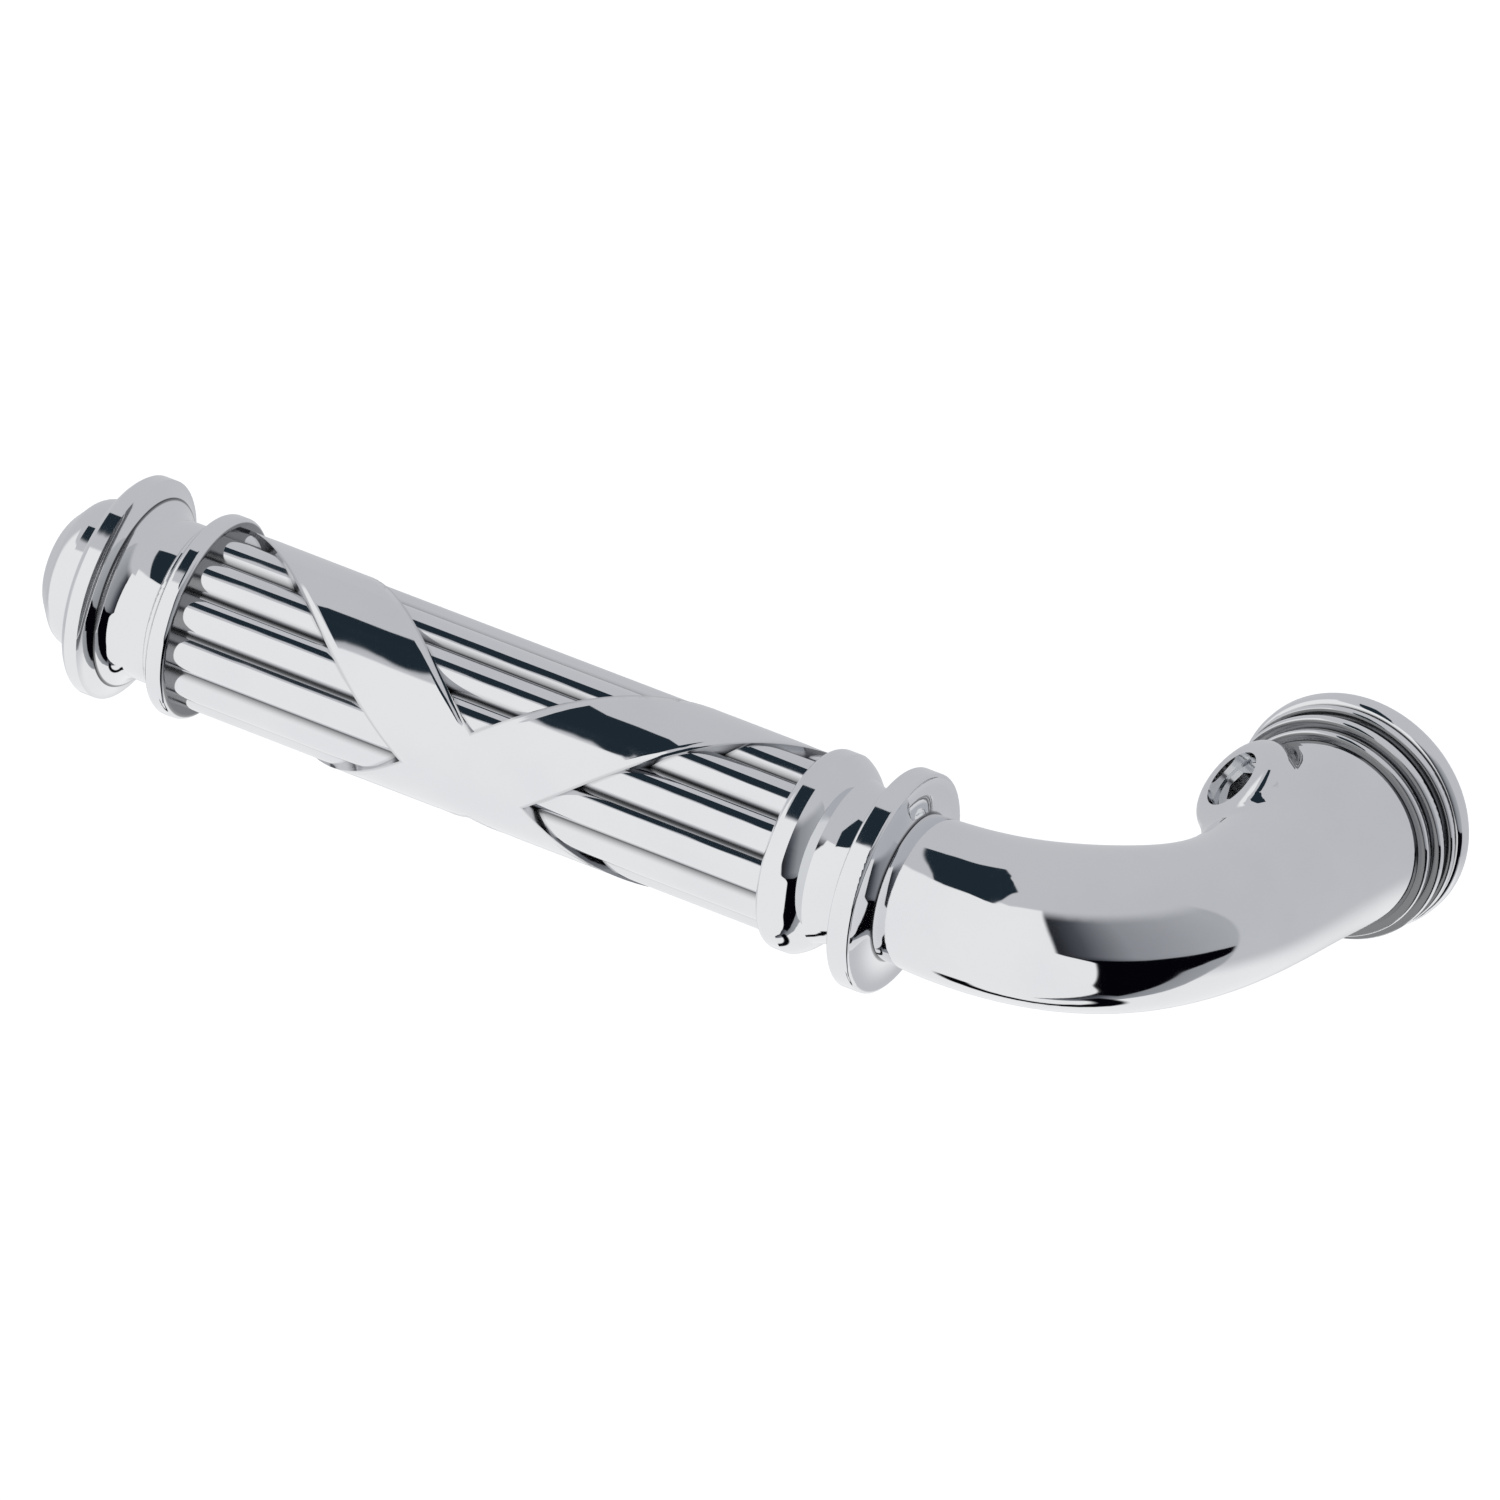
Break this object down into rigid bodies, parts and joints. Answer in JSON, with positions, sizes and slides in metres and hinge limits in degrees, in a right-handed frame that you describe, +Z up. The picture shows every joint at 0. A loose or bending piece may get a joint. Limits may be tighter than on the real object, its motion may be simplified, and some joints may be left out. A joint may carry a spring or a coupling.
{
  "type": "door lever handle",
  "caption": "Chrome door lever with a bent neck, reeded grip, turned collars and finial, turning in a bearing ring and fixed to its spindle by a set screw.",
  "frame": {"origin": "on the spindle axis, in the plane of the bearing ring's back face, which meets the door furniture", "axes": "+Y along the spindle axis into the door, -X along the grip from the spindle towards the finial, +Z up"},
  "size_m": [0.1266, 0.0584, 0.0232],
  "materials": {
    "chrome_plate": "mirror-bright chrome plate over brass and zinc castings, with faint polishing lines",
    "zinc_plated_steel": "bright zinc-plated steel",
    "spring_steel": "tempered spring steel, dark",
    "acetal": "natural acetal, turned",
    "nylon": "moulded nylon",
    "screw_steel": "bright steel grub screw"
  },
  "bodies": {
    "bearing": {"base_ring": "chrome_plate", "bearing_bush": "acetal"},
    "lever": {"elbow_neck": "chrome_plate", "step_ring": "chrome_plate", "groove_ring": "chrome_plate", "bead_ring": "chrome_plate", "neck_ring": "chrome_plate", "spindle_sleeve": "zinc_plated_steel", "disc_spring": "spring_steel", "retaining_washer": "zinc_plated_steel", "snap_ring": "spring_steel", "stop_pin": "zinc_plated_steel", "large_ring": "chrome_plate", "bell_collar": "chrome_plate", "collar_dowel": "zinc_plated_steel", "grip_dowel": "zinc_plated_steel", "tie_rod": "zinc_plated_steel", "grip_sleeve": "chrome_plate", "inner_centring_plug": "nylon", "outer_centring_plug": "nylon", "grip_end_ring": "chrome_plate", "grip_end_bead": "chrome_plate", "finial_spool": "chrome_plate", "lock_washer": "zinc_plated_steel", "rod_nut": "zinc_plated_steel", "finial_disc": "chrome_plate", "finial_dome": "chrome_plate"},
    "set_screw": {"set_screw": "screw_steel"}
  },
  "joints": [
    {"name": "lever_turn", "type": "hinge", "parent": "bearing", "child": "lever", "pos_m": [0, 0, 0], "axis": [0, 1, 0], "range_deg": [-45, 45]},
    {"name": "set_screw_travel", "type": "slide", "parent": "lever", "child": "set_screw", "axis": [-0.6409, -0.4226, 0.6409], "range_m": [-0.0002, 0.0015]}
  ]
}
